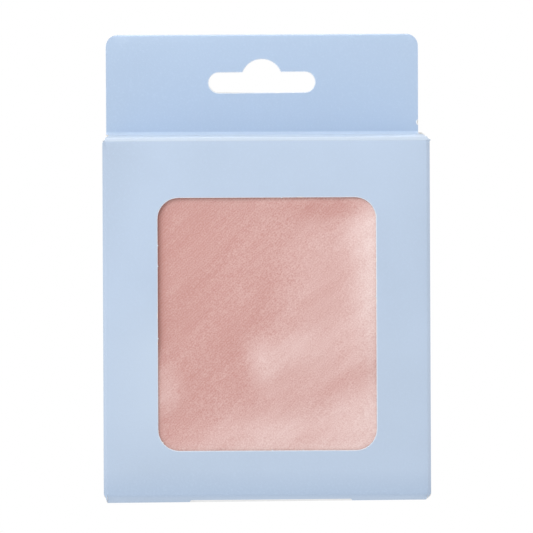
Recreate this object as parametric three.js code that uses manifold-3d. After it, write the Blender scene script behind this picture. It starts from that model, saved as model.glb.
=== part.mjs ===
// Hang-sell carton of creased paperboard with a folded satin shower cap behind its window.
// Millimetres. +Z is up, the front panel faces -Y and +X is the viewer's right.
// The origin is at the bottom centre of the standing pack.
import * as THREE from 'three';
import { mergeVertices } from 'three/addons/utils/BufferGeometryUtils.js';
import Module from 'manifold-3d';

const wasm = await Module();
wasm.setup();

// Board and creases
const board = 0.45; // thickness of the paperboard
const seamGap = 0.3; // clearance between neighbouring pieces and across a crease
const uprightRadius = 1.2; // outer radius of the upright creases
const topFoldRadius = 1.2; // front panel to top lid
const valleyRadius = 1.1; // top lid to header, on the upper side
const baseFoldRadius = 2.0; // front panel to bottom lid
const tuckFoldRadius = 1.2; // bottom lid to tuck flap
const flapFoldRadius = 1.2; // side panels to dust flaps
const creaseSteps = 4; // facets in each half of a crease

// Sleeve
const sleeveWidth = 96; // outside, over the side panels
const sleeveDepth = 25; // outside, front face to back face
const frontFlat = 103.7; // front panel between its two horizontal creases
const backHeight = 108.7; // back panel from the base to its cut top edge
const backEdgeInset = 0.3; // cut left edge of the back panel, in from the corner
const glueFlapWidth = 12;
const glueFlapTuckGap = 2; // above the end of the tuck flap
const glueFlapLapGap = 2.2; // below the end of the header's lap
const glueFlapTaper = 4; // height lost along each slanted end of the glue flap

// Window
const windowWidth = 64.2;
const windowHeight = 74.3;
const windowSill = 14.6; // lower edge above the base
const windowShift = 0.2; // centre to the right of the panel's centre
const windowRadius = 6.2;

// Top lid and hanging header
const lidInset = 1.1; // each end of both lids, in from the side panel's outer face
const lidRise = 3.4; // degrees that the top lid climbs to the rear
const headerWidth = 93.6;
const headerShift = -1.2; // centre of the header, off the pack's centre
const headerFlat = 28.4; // header between the valley crease and its top fold
const headerRadius = 3.6; // upper corners
const plyGap = 0.3; // between the two plies of the header and the back panel
const lapDepth = 12; // part of the rear ply that runs down inside the back panel
const lapInset = 3.5; // each end of that lap, in from the side panel's outer face
const slotLength = 32;
const slotHeight = 6.2;
const slotRise = 11.7; // slot's lower edge above the foot of the header's flat
const bumpRadius = 6.2; // round head of the slot
const bumpDrop = 2.3; // centre of that round, below the slot's upper edge

// Dust flaps, measured from the crease or from the ends of the side panel
const flapClearance = 0.3; // between a lid and the dust flap inside it
const topFlapDrop = 0.55; // the same at the top, where the lid climbs
const flapReach = 17;
const flapFrontInset = 2.0;
const flapFrontSlant = 8.4; // run of the slanted front edge
const flapRearInset = 4.7;
const flapRearSlant = 2.0; // run of the slanted rear edge
const flapTipRadius = 2.5;

// Tuck flap of the bottom lid
const tuckLength = 12;
const tuckLean = 11; // degrees that the flap leans in from the back panel
const tuckClearance = 0.35; // between the tuck's crease and the back panel
const tuckRadius = 5; // free corners

// Folded cap: crown third in the middle, front third, then the hem third at the rear
const capSideRoom = 2.55; // each side, to the side panel's inner face
const capHeadroom = 6.45; // from the packet's top to the top dust flaps
const capTuckGap = 0.65; // from the packet's rear to the end of the tuck flap
const capSetback = 0.95; // front leaf behind the front panel's inner face
const leafCount = 3;
const leafGap = 0.7; // between neighbouring leaves
const satinWall = 0.8;
const linerWall = 0.6;
const clothGap = 0.3; // between satin and liner, and round the elastic
const crownGap = 2.2; // from the crown's folded end up to the bend over it
const edgeRounding = 0.4; // share of a leaf's thickness rounded off at its side edges
const bendSteps = 12; // facets round each bend of the packet
const edgeFacets = 3; // facets round each side edge of a leaf

// Gathered hem with its elastic
const hemHeight = 9;
const hemWall = 2.2; // casing, over both cloth walls and the elastic
const hemFloor = 0.8; // turned-up edge of the casing
const hemInset = 3; // each end of the hem, in from the cap's side edge
const elasticWidth = 6;
const elasticThickness = 0.6;
const gatherCount = 32;
const gatherDepth = 0.25;
const gatherSteps = 5; // points along one gather

// Finishes
const printedBoard = new THREE.MeshStandardMaterial({ color: 0xbfd2ec, roughness: 0.55, flatShading: true });
const bareBoard = new THREE.MeshStandardMaterial({ color: 0xe9e8e6, roughness: 0.85, flatShading: true });
const satin = new THREE.MeshStandardMaterial({ color: 0xd9aba4, roughness: 0.4, flatShading: true });
const film = new THREE.MeshStandardMaterial({ color: 0xf0eeea, roughness: 0.3, flatShading: true });
const rubber = new THREE.MeshStandardMaterial({ color: 0xf4f1ec, roughness: 0.8, flatShading: true });

// Places that several pieces share
const halfWidth = sleeveWidth / 2;
const frontY = -sleeveDepth / 2;
const backY = sleeveDepth / 2;
const backInnerY = backY - board;
const rearPlyY = backInnerY - plyGap - board; // front face of the rear ply and of the glue flap
const frontPlyY = rearPlyY - plyGap - board; // front face of the header
const headerFoldRadius = (backInnerY - plyGap - frontPlyY) / 2;
const frontBottom = baseFoldRadius;
const frontTop = frontBottom + frontFlat;
const lidHalfWidth = halfWidth - lidInset;
const flapOuterBottom = board + flapClearance;
const flapOuterTop = frontTop + topFoldRadius - board - topFlapDrop;
const sideBottom = flapOuterBottom + flapFoldRadius;
const sideTop = flapOuterTop - flapFoldRadius;
const flapFrontY = frontY + flapFrontInset;
const flapRearY = backY - flapRearInset;

const radians = THREE.MathUtils.degToRad;
const rightAngle = Math.PI / 2;

// A line across a section plane, drawn by going forward and turning as a creased board does.
class CreaseLine {
  constructor(x, y, heading) {
    this.at = new THREE.Vector2(x, y);
    this.heading = heading;
    this.points = [];
    this.headings = [];
    this.mark();
  }

  mark() {
    this.points.push(this.at.clone());
    this.headings.push(this.heading);
  }

  forward(length) {
    this.at.x += length * Math.cos(this.heading);
    this.at.y += length * Math.sin(this.heading);
    this.mark();
    return this;
  }

  // Positive angles turn left. The radius is that of the line itself.
  turn(angle, radius, steps = creaseSteps) {
    const side = Math.sign(angle);
    const centre = this.at.clone();
    centre.x -= side * radius * Math.sin(this.heading);
    centre.y += side * radius * Math.cos(this.heading);
    const from = this.heading;
    for (let step = 1; step <= steps; step += 1) {
      this.heading = from + (angle * step) / steps;
      this.at.x = centre.x + side * radius * Math.sin(this.heading);
      this.at.y = centre.y - side * radius * Math.cos(this.heading);
      this.mark();
    }
    return this;
  }

  // Points beside the line, at a distance measured to its left.
  beside(distance) {
    return this.points.map((point, index) => {
      const heading = this.headings[index];
      return new THREE.Vector2(
        point.x - distance * Math.sin(heading),
        point.y + distance * Math.cos(heading),
      );
    });
  }

  // Outline of the strip between two distances to the left of the line.
  strip(near, far) {
    return new THREE.Shape([...this.beside(near), ...this.beside(far).reverse()]);
  }
}

// Follows a board over its flats and folds, and splits it in the middle of each fold.
// The result has one line for each panel, with half a fold at each creased end.
function panelLines(x, y, heading, flats, folds) {
  const lines = [];
  let line = new CreaseLine(x, y, heading);
  flats.forEach((flat, index) => {
    line.forward(flat);
    lines.push(line);
    if (index < folds.length) {
      const { turn, radius } = folds[index];
      const openTurn = (Math.sign(turn) * seamGap) / radius;
      const halfTurn = (turn - openTurn) / 2;
      line.turn(halfTurn, radius);
      const skipped = new CreaseLine(line.at.x, line.at.y, line.heading).turn(openTurn, radius);
      line = new CreaseLine(skipped.at.x, skipped.at.y, skipped.heading).turn(halfTurn, radius);
    }
  });
  return lines;
}

// A polygon whose corners may be rounded. Each corner is [x, y, radius].
function roundedOutline(corners) {
  const shape = new THREE.Shape();
  corners.forEach(([x, y, radius], index) => {
    const corner = new THREE.Vector2(x, y);
    if (radius === 0) {
      if (index === 0) shape.moveTo(x, y);
      else shape.lineTo(x, y);
      return;
    }
    const before = corners.at(index - 1);
    const after = corners[(index + 1) % corners.length];
    const toBefore = new THREE.Vector2(before[0], before[1]).sub(corner).normalize();
    const toAfter = new THREE.Vector2(after[0], after[1]).sub(corner).normalize();
    const halfAngle = Math.acos(THREE.MathUtils.clamp(toBefore.dot(toAfter), -1, 1)) / 2;
    const start = toBefore.clone().multiplyScalar(radius / Math.tan(halfAngle)).add(corner);
    const end = toAfter.clone().multiplyScalar(radius / Math.tan(halfAngle)).add(corner);
    const inward = toBefore.clone().add(toAfter).normalize();
    const centre = inward.multiplyScalar(radius / Math.sin(halfAngle)).add(corner);
    const clockwise = toBefore.cross(toAfter) > 0;
    if (index === 0) shape.moveTo(start.x, start.y);
    else shape.lineTo(start.x, start.y);
    const startAngle = Math.atan2(start.y - centre.y, start.x - centre.x);
    const endAngle = Math.atan2(end.y - centre.y, end.x - centre.x);
    shape.absarc(centre.x, centre.y, radius, startAngle, endAngle, clockwise);
  });
  shape.closePath();
  return shape;
}

const weldDistance = 1e-4; // corners closer than this become one

// Solids for cutting and joining, and the meshes that are made of them.
function solidOf(geometry) {
  geometry.deleteAttribute('normal');
  geometry.deleteAttribute('uv');
  const merged = mergeVertices(geometry, weldDistance);
  const vertProperties = new Float32Array(merged.attributes.position.array);
  const triVerts = new Uint32Array(merged.index.array);
  return new wasm.Manifold(new wasm.Mesh({ numProp: 3, vertProperties, triVerts }));
}

const axisX = new THREE.Vector3(1, 0, 0);
const axisY = new THREE.Vector3(0, 1, 0);
const axisZ = new THREE.Vector3(0, 0, 1);
const sectionToX = new THREE.Matrix4().makeBasis(axisY, axisZ, axisX);
const sectionToY = new THREE.Matrix4().makeBasis(axisX, axisZ, axisY.clone().negate());
const arcFacets = 8; // facets in each rounded corner of an outline

function extruded(shape, depth) {
  return new THREE.ExtrudeGeometry(shape, { depth, bevelEnabled: false, curveSegments: arcFacets });
}

// A section drawn in (y, z), pulled along X.
function pulledAlongX(shape, x0, x1) {
  return solidOf(extruded(shape, x1 - x0).applyMatrix4(sectionToX).translate(x0, 0, 0));
}

// An outline drawn in (x, z), pulled along Y.
function pulledAlongY(shape, y0, y1) {
  return solidOf(extruded(shape, y1 - y0).applyMatrix4(sectionToY).translate(0, y1, 0));
}

// An outline drawn in (x, y), pulled along Z.
function pulledAlongZ(shape, z0, z1) {
  return solidOf(extruded(shape, z1 - z0).translate(0, 0, z0));
}

const pack = new THREE.Group();

function addPiece(name, solid, material) {
  const { vertProperties, triVerts } = solid.getMesh();
  const geometry = new THREE.BufferGeometry();
  geometry.setAttribute('position', new THREE.BufferAttribute(vertProperties, 3));
  geometry.setIndex(new THREE.BufferAttribute(triVerts, 1));
  geometry.computeVertexNormals();
  const mesh = new THREE.Mesh(geometry, material);
  mesh.name = name;
  pack.add(mesh);
}

// The sleeve seen from above: back, right side, front, left side and glue flap, clockwise.
const [backPlan, rightPlan, frontPlan, leftPlan, gluePlan] = panelLines(
  backEdgeInset - halfWidth,
  backY,
  0,
  [
    sleeveWidth - backEdgeInset - uprightRadius,
    sleeveDepth - 2 * uprightRadius,
    sleeveWidth - 2 * uprightRadius,
    sleeveDepth - 2 * uprightRadius - board - plyGap,
    glueFlapWidth,
  ],
  Array.from({ length: 4 }, () => ({ turn: -rightAngle, radius: uprightRadius })),
);

// The board over the top, seen from the right: front, top lid, header and rear ply.
const climb = rightAngle - radians(lidRise);
const foldDepth = topFoldRadius * (1 - Math.cos(climb));
const valleyDepth = valleyRadius * (1 - Math.sin(radians(lidRise)));
const lidRun = (frontPlyY - frontY - foldDepth - valleyDepth) / Math.cos(radians(lidRise));
const [frontOver, topLidLine, headerLine, rearPlyLine] = panelLines(
  frontY,
  frontBottom,
  rightAngle,
  [frontFlat, lidRun, headerFlat, headerFlat + lapDepth],
  [
    { turn: -climb, radius: topFoldRadius },
    { turn: climb, radius: valleyRadius },
    { turn: -Math.PI, radius: headerFoldRadius },
  ],
);
const headerFoot = headerLine.points.at(creaseSteps).y; // where the header's flat begins

// The board under the base, seen from the right: front, bottom lid and tuck flap.
const bottomLidRun = backInnerY - tuckClearance - tuckFoldRadius - frontY - baseFoldRadius;
const [frontUnder, bottomLidLine, tuckLine] = panelLines(
  frontY,
  frontTop,
  -rightAngle,
  [frontFlat, bottomLidRun, tuckLength],
  [
    { turn: rightAngle, radius: baseFoldRadius },
    { turn: rightAngle + radians(tuckLean), radius: tuckFoldRadius },
  ],
);

function frontPanel() {
  const upright = pulledAlongZ(frontPlan.strip(0, -board), frontBottom, frontTop);
  const over = pulledAlongX(frontOver.strip(0, -board), -lidHalfWidth, lidHalfWidth);
  const under = pulledAlongX(frontUnder.strip(0, board), -lidHalfWidth, lidHalfWidth);
  const left = windowShift - windowWidth / 2;
  const right = windowShift + windowWidth / 2;
  const opening = roundedOutline([
    [left, windowSill, windowRadius],
    [right, windowSill, windowRadius],
    [right, windowSill + windowHeight, windowRadius],
    [left, windowSill + windowHeight, windowRadius],
  ]);
  const cutter = pulledAlongY(opening, frontY - board, frontY + 2 * board);
  return upright.add(over).add(under).subtract(cutter);
}

function backPanel() {
  const upright = pulledAlongZ(backPlan.strip(0, -board), sideBottom, sideTop);
  const plate = roundedOutline([
    [backEdgeInset - halfWidth, 0, 0],
    [halfWidth - uprightRadius, 0, 0],
    [halfWidth - uprightRadius, backHeight, 0],
    [backEdgeInset - halfWidth, backHeight, 0],
  ]);
  return upright.add(pulledAlongY(plate, backInnerY, backY));
}

function glueFlap() {
  const bottom = tuckLine.at.y + glueFlapTuckGap;
  const top = headerFoot - lapDepth - glueFlapLapGap;
  const sheet = pulledAlongZ(gluePlan.strip(0, -board), bottom, top);
  const freeEdge = glueFlapWidth + uprightRadius - halfWidth;
  const outline = roundedOutline([
    [-halfWidth, bottom, 0],
    [uprightRadius - halfWidth, bottom, 0],
    [freeEdge, bottom + glueFlapTaper, 0],
    [freeEdge, top - glueFlapTaper, 0],
    [uprightRadius - halfWidth, top, 0],
    [-halfWidth, top, 0],
  ]);
  return sheet.intersect(pulledAlongY(outline, rearPlyY - uprightRadius, backInnerY));
}

// A side panel and one of its dust flaps in section. side is 1 on the right and -1 on the left,
// end is 1 at the top and -1 at the bottom.
function flapLines(side, end) {
  const start = end > 0 ? sideBottom : sideTop;
  return panelLines(
    side * halfWidth,
    start,
    end * rightAngle,
    [sideTop - sideBottom, flapReach],
    [{ turn: side * end * rightAngle, radius: flapFoldRadius }],
  );
}

function sidePanel(side, plan) {
  let panel = pulledAlongZ(plan.strip(0, -board), sideBottom, sideTop);
  for (const end of [1, -1]) {
    const [wallLine] = flapLines(side, end);
    panel = panel.add(pulledAlongY(wallLine.strip(0, side * end * board), flapFrontY, flapRearY));
  }
  return panel;
}

function dustFlap(side, end) {
  const [, flapLine] = flapLines(side, end);
  const sheet = pulledAlongY(flapLine.strip(0, side * end * board), flapFrontY, flapRearY);
  const crease = halfWidth - flapFoldRadius;
  const tip = crease - flapReach;
  const outline = roundedOutline([
    [side * halfWidth, flapFrontY, 0],
    [side * crease, flapFrontY, 0],
    [side * tip, flapFrontY + flapFrontSlant, flapTipRadius],
    [side * tip, flapRearY - flapRearSlant, flapTipRadius],
    [side * halfWidth, flapRearY, 0],
  ]);
  return sheet.intersect(pulledAlongZ(outline, 0, flapOuterTop + seamGap));
}

// Outline of the hanging hole: a long slot with a round head in the middle.
function hangingHole(centreX, sill) {
  const endRadius = slotHeight / 2;
  const reach = slotLength / 2 - endRadius;
  const top = sill + slotHeight;
  const middle = sill + endRadius;
  const headAngle = Math.asin(bumpDrop / bumpRadius);
  const hole = new THREE.Shape();
  hole.moveTo(centreX - reach, sill);
  hole.lineTo(centreX + reach, sill);
  hole.absarc(centreX + reach, middle, endRadius, -rightAngle, rightAngle, false);
  hole.absarc(centreX, top - bumpDrop, bumpRadius, headAngle, Math.PI - headAngle, false);
  hole.lineTo(centreX - reach, top);
  hole.absarc(centreX - reach, middle, endRadius, rightAngle, 3 * rightAngle, false);
  return hole;
}

// One ply of the header, cut to the header's outline above its foot and to a narrower lap below.
function headerPly(line) {
  const left = headerShift - headerWidth / 2;
  const right = headerShift + headerWidth / 2;
  const crest = headerFoot + headerFlat + headerFoldRadius;
  const lapHalfWidth = halfWidth - lapInset;
  const shoulder = headerFoot - valleyRadius;
  const lapEnd = headerFoot - lapDepth;
  const outline = roundedOutline([
    [-lapHalfWidth, lapEnd, 0],
    [lapHalfWidth, lapEnd, 0],
    [lapHalfWidth, shoulder, 0],
    [right, shoulder, 0],
    [right, crest, headerRadius],
    [left, crest, headerRadius],
    [left, shoulder, 0],
    [-lapHalfWidth, shoulder, 0],
  ]);
  outline.holes.push(hangingHole(headerShift, headerFoot + slotRise));
  const sheet = pulledAlongX(line.strip(0, -board), left, right);
  return sheet.intersect(pulledAlongY(outline, frontPlyY - valleyRadius - board, backInnerY));
}

function topLid() {
  return pulledAlongX(topLidLine.strip(0, -board), -lidHalfWidth, lidHalfWidth);
}

function bottomLid() {
  return pulledAlongX(bottomLidLine.strip(0, board), -lidHalfWidth, lidHalfWidth);
}

function tuckFlap() {
  const sheet = pulledAlongX(tuckLine.strip(0, board), -lidHalfWidth, lidHalfWidth);
  const outline = roundedOutline([
    [-lidHalfWidth, 0, 0],
    [lidHalfWidth, 0, 0],
    [lidHalfWidth, tuckLine.at.y, tuckRadius],
    [-lidHalfWidth, tuckLine.at.y, tuckRadius],
  ]);
  return sheet.intersect(pulledAlongY(outline, frontY, backInnerY));
}

// The folded cap fills the carton from the front panel back to the tuck flap.
// Each leaf holds the satin and the liner of both walls of the flattened cap.
const capWidth = sleeveWidth - 2 * board - 2 * capSideRoom;
const capFrontY = frontY + board + capSetback;
const capRearY = tuckLine.beside(board).at(-1).x - capTuckGap;
const leafThickness = (capRearY - capFrontY - (leafCount - 1) * leafGap) / leafCount;
const capBottom = flapOuterBottom + board + seamGap;
const capTop = flapOuterTop - board - capHeadroom;

// Its middle line in (y, z), from the crown's folded end to the hem.
const leafPitch = leafThickness + leafGap;
const frontLeafY = capFrontY + leafThickness / 2;
const crownLeafY = frontLeafY + leafPitch;
const hemLeafY = crownLeafY + leafPitch;
const innerBend = leafPitch / 2;
const outerBend = leafPitch;
const innerBendZ = capBottom + innerBend + leafThickness / 2;
const outerBendZ = capTop - outerBend - leafThickness / 2;
const crownEndZ = outerBendZ + outerBend - leafThickness / 2 - crownGap;
const clothEndZ = capBottom + hemHeight + seamGap;

function capLine(crownInset, hemOverrun) {
  return new CreaseLine(crownLeafY, crownEndZ - crownInset, -rightAngle)
    .forward(crownEndZ - crownInset - innerBendZ)
    .turn(-Math.PI, innerBend, bendSteps)
    .forward(outerBendZ - innerBendZ)
    .turn(-Math.PI, outerBend, bendSteps)
    .forward(outerBendZ - clothEndZ + hemOverrun);
}

// A folded bag's outer or inner form, with its side edges rounded.
function foldedForm(line, thickness, width) {
  const edge = thickness * edgeRounding;
  const geometry = new THREE.ExtrudeGeometry(line.strip(thickness / 2, -thickness / 2), {
    depth: width - 2 * edge,
    bevelThickness: edge,
    bevelSize: edge,
    bevelOffset: -edge,
    bevelSegments: edgeFacets,
  });
  return solidOf(geometry.applyMatrix4(sectionToX).translate(edge - width / 2, 0, 0));
}

// A bag of one wall thickness that is open at its hem. depth is how far it lies inside the satin.
function foldedBag(depth, wall) {
  const outer = foldedForm(capLine(depth, 0), leafThickness - 2 * depth, capWidth - 2 * depth);
  const hollow = depth + wall;
  const inner = foldedForm(capLine(hollow, seamGap), leafThickness - 2 * hollow, capWidth - 2 * hollow);
  return outer.subtract(inner);
}

// The hem as a flattened ring seen from above, drawn up into even gathers.
function hemOutline(offset) {
  const endRadius = (leafThickness - hemWall) / 2;
  const reach = capWidth / 2 - hemInset - endRadius - hemWall / 2;
  const straight = 2 * reach;
  const around = 2 * straight + 2 * Math.PI * endRadius;
  const count = gatherCount * gatherSteps;
  return Array.from({ length: count }, (_, index) => {
    const share = index / count;
    const distance = offset + endRadius + gatherDepth * Math.sin(2 * Math.PI * gatherCount * share);
    const travelled = share * around;
    const secondHalf = travelled >= around / 2;
    const along = secondHalf ? travelled - around / 2 : travelled;
    const sign = secondHalf ? -1 : 1;
    if (along < straight) {
      return new THREE.Vector2(sign * (along - reach), hemLeafY - sign * distance);
    }
    const angle = (along - straight) / endRadius - rightAngle;
    const x = reach + distance * Math.cos(angle);
    return new THREE.Vector2(sign * x, hemLeafY + sign * distance * Math.sin(angle));
  });
}

function hemRing(wall, z0, z1) {
  const ring = new THREE.Shape(hemOutline(wall / 2));
  ring.holes.push(new THREE.Path(hemOutline(-wall / 2)));
  return pulledAlongZ(ring, z0, z1);
}

function hemCasing() {
  const channel = elasticThickness + 2 * clothGap;
  const casing = hemRing(hemWall, capBottom, capBottom + hemHeight);
  return casing.subtract(hemRing(channel, capBottom + hemFloor, clothEndZ));
}

function elasticBand() {
  const seat = capBottom + hemFloor + clothGap;
  return hemRing(elasticThickness, seat, seat + elasticWidth);
}

addPiece('front_panel', frontPanel(), printedBoard);
addPiece('back_panel', backPanel(), printedBoard);
addPiece('right_side_panel', sidePanel(1, rightPlan), printedBoard);
addPiece('left_side_panel', sidePanel(-1, leftPlan), printedBoard);
addPiece('glue_flap', glueFlap(), bareBoard);
addPiece('top_lid', topLid(), printedBoard);
addPiece('header_front_ply', headerPly(headerLine), printedBoard);
addPiece('header_rear_ply', headerPly(rearPlyLine), printedBoard);
addPiece('top_right_dust_flap', dustFlap(1, 1), printedBoard);
addPiece('top_left_dust_flap', dustFlap(-1, 1), printedBoard);
addPiece('bottom_lid', bottomLid(), printedBoard);
addPiece('bottom_tuck_flap', tuckFlap(), printedBoard);
addPiece('bottom_right_dust_flap', dustFlap(1, -1), printedBoard);
addPiece('bottom_left_dust_flap', dustFlap(-1, -1), printedBoard);
addPiece('cap_satin_shell', foldedBag(0, satinWall), satin);
addPiece('cap_liner', foldedBag(satinWall + clothGap, linerWall), film);
addPiece('cap_hem_casing', hemCasing(), satin);
addPiece('cap_elastic_band', elasticBand(), rubber);

export default pack;
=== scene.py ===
from collections import namedtuple
from math import acos, asin, atan2, copysign, cos, dist, exp, hypot, pi, radians, sin, sqrt, tan

import bpy
import numpy as np
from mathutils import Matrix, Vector, noise
from mathutils.geometry import delaunay_2d_cdt


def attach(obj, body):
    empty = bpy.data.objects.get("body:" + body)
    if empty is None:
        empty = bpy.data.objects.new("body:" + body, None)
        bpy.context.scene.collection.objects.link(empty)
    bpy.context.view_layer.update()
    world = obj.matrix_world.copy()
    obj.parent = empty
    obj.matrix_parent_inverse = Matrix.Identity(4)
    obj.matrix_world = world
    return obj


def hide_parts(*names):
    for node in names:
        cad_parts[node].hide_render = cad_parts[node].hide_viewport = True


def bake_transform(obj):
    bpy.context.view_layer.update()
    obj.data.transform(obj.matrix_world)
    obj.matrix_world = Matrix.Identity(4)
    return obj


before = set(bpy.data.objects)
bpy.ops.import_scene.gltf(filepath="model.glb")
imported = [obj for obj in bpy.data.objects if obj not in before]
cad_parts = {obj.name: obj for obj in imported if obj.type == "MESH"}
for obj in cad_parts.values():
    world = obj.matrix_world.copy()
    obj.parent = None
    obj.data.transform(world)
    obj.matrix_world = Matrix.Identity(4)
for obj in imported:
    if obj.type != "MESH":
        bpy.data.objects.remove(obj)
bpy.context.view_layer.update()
scene = bpy.context.scene

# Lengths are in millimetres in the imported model's frame until a mesh is made.
METRES = 0.001

# Board and folds
BOARD = 0.45
UPRIGHT_RADIUS = 1.2
PRESSED_RADIUS = 0.5  # each tight bend of a pressed fold
TOP_RADIUS = 1.2
TOP_SLOPE = 28  # degrees, first bend of the front's top fold
VALLEY_RADIUS = 0.6
VALLEY_CREASE = 0.3  # sharper fold at the foot of the header
BASE_RADIUS = 2
BASE_SLOPE = 35  # degrees, first bend of the base fold
BASE_BEND = 0.7
TUCK_RADIUS = 1.2
FLAP_RADIUS = 1.2
CREST_RADIUS = 0.6  # fold over the top of the header

# Sleeve
HALF_WIDTH = 48
HALF_DEPTH = 12.5
FRONT_BOTTOM = 2
FRONT_TOP = 105.5
SIDE_BOTTOM = 1.95
SIDE_TOP = 104.7
BACK_HEIGHT = 108.7
BACK_EDGE_INSET = 0.3
BACK_CORNER_DROP = 0.5
SEAM = 0.05  # between the sleeve and each side of the bottom lid
LEFT_WEB = (2.2, 1.3, -0.3)  # heights of the slanted web left at a bottom corner, side to front
RIGHT_WEB = (2.2, 1.5, 0.6)
LEFT_TOP = [(48.45, 105.1), (47.75, 105.68), (47.2, 106.1), (47, 107.3)]  # cut corners, side panel to lid
RIGHT_TOP = [(48.5, 105.5), (48.2, 105.68), (47.5, 106.2), (47, 107.3)]
FRONT_FLAT = HALF_WIDTH - UPRIGHT_RADIUS  # half of the front between its upright folds
GLUE_WIDTH = 12
GLUE_Y = 11.75
GLUE_BOTTOM = 15.2
GLUE_TOP = 95
GLUE_TAPER = 4
GLUE_EASE = 1

# Window
WINDOW_MIDDLE = 0.11
WINDOW_HALF = 32.01
WINDOW_SILL = 14.78
WINDOW_TOP = 88.9
WINDOW_RADIUS = 6.2
LIP = 0.22  # width of the crushed fibres round a die-cut hole
LIP_SINK = 0.12  # how far they lean in from the printed face
NICK_SIZE = 0.24  # torn ties that held the waste, at these places on the edge
NICKS = [
    (-31.9, 76.5), (-31.9, 68.3), (-31.9, 46.6), (-30.4, 17),
    (2.5, 14.6), (11.3, 14.6), (3.4, 88.9), (32.3, 59.8),
]
NICK_SHAPE = [(-1, 0), (-0.4, 1), (0.5, 0.8), (1, 0)]  # along the edge and inwards, in nick sizes

# Top lid and header
LID_HALF = 46.9
LID_RISE = 3.95  # degrees
RAMP_RISE = 40  # degrees, the short slope between the lid and the header
RAMP_RUN = 1.1
HEADER_Y = 10.55  # printed face of the header's front ply
HEADER_LEFT = 47.85  # widths of the header left and right of the front's middle
HEADER_RIGHT = 45.6
HEADER_FLAT = 28.4
HEADER_CORNER = 3.6
LAP = 12
LAP_HALF = 44.5
LAP_EASE = 0.5
HEADER_EASE = 0.6  # the lid's rear corners are cut this far past its end
HEADER_NICK = [(0, 1.6), (0.45, 2), (0.65, 2.7), (0.4, 3.2), (0, 3.45)]  # torn spot near the header's foot
NICK_DEPTH = 0.45  # share of it that is torn right through
SLOT_REACH = 12.9  # from the middle to the centre of each round end
SLOT_HEIGHT = 6.1
SLOT_RISE = 11.59
SLOT_MIDDLE = -1.1
SLOT_TURN = 0.3  # degrees
BUMP_RADIUS = 6.15
BUMP_DROP = 2.25
REAR_SLOT_SHIFT = (-0.2, 0.14)  # the rear ply's slot is a little off the front one's, and wider
REAR_SLOT_GROW = 0.12
REAR_SLOT_TURN = -0.6  # degrees

# Dust flaps, bottom lid and tuck flap
FLAP_FRONT = -10.5
FLAP_REAR = 7.8
FLAP_REACH = 17
FLAP_FRONT_SLANT = 8.4
FLAP_REAR_SLANT = 2
FLAP_CORNER = 2.5
BOTTOM_RUN = 21
TUCK_LEAN = 11  # degrees
TUCK_LENGTH = 12
TUCK_CORNER = 5
PATCH = (-22.7, 24.8)  # sides of the blank white patch under the base
PATCH_START = 1.75  # its front edge, measured down the base fold
PATCH_END = 17
PATCH_CORNER = 0.5
RUBBED = [(0.5, 2.7), (0.22, 1.9), (0.06, 1.1)]  # the lid's rubbed right front corner: inwards, down the fold

# Folded cap
CAP_HALF = 45
LEAF = 6  # thickness of one leaf
CROWN_LEAF_Y = -1.4
HEM_LEAF_Y = 5.3
CROWN_END = 90.8
INNER_BEND = (7.85, 3.35)  # height and radius of the tight bend at the bottom
OUTER_BEND = (89.3, 6.7)  # the wide bend at the top
CLOTH_END = 10.4
HEM_BOTTOM = 1.5
HEM_HEIGHT = 8.9
HEM_HALF = 42
HEM_WALL = 2.2
GATHERS = 34
GATHER_DEPTH = 0.32
GATHER_LENGTH = 34  # how far the gathers run from the hem
NARROW_LENGTH = 26  # and how far the cap narrows towards it
CROWN_ROUND = 3  # length over which the crown's end rounds off
CROWN_DRAW = 2  # how much each side draws in there
DRAPE = 0.16  # unevenness of the cloth
SATIN_THICKNESS = 0.3
FILM_THICKNESS = 0.12
LINER_INSET = 1.1

# Unevenness of the board
FRONT_BOW = 0.28
PANEL_BOW = 0.2
WAVINESS = 0.5
WAVE_RATE = 0.03
CURL_SPAN = (112, 138)  # heights over which the header curls forwards
CURL = 0.9
CURL_TWIST = 0.2
CURL_WAVINESS = 0.4
SAG_START, SAG_END = (0, 3), (24, 10)  # down the base fold, where the lid starts and stops sagging
SAG = 0.2
SAG_TWIST = 0.32

# Steps of the meshes
FLAT_STEP = 3
FOLD_STEP = radians(13)
ROUND_STEP = 15  # degrees, round the slot
BUMP_STEPS = 14
LID_COLUMNS = 33
SATIN_STEP = 1.5
LINER_STEP = 2.5
CLEARANCE = 0.25  # least distance between a grid point and a cut
WELD = 1e-6


def smooth(low, high, value):
    """0 up to low, 1 past high, and an even ease between. It falls where low is the larger."""
    share = min(1, max(0, (value - low) / (high - low)))
    return share * share * (3 - 2 * share)


def unit(vector):
    return vector / np.linalg.norm(vector)


def uneven(x, y, z):
    return noise.noise(Vector((x, y, z)))


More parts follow.
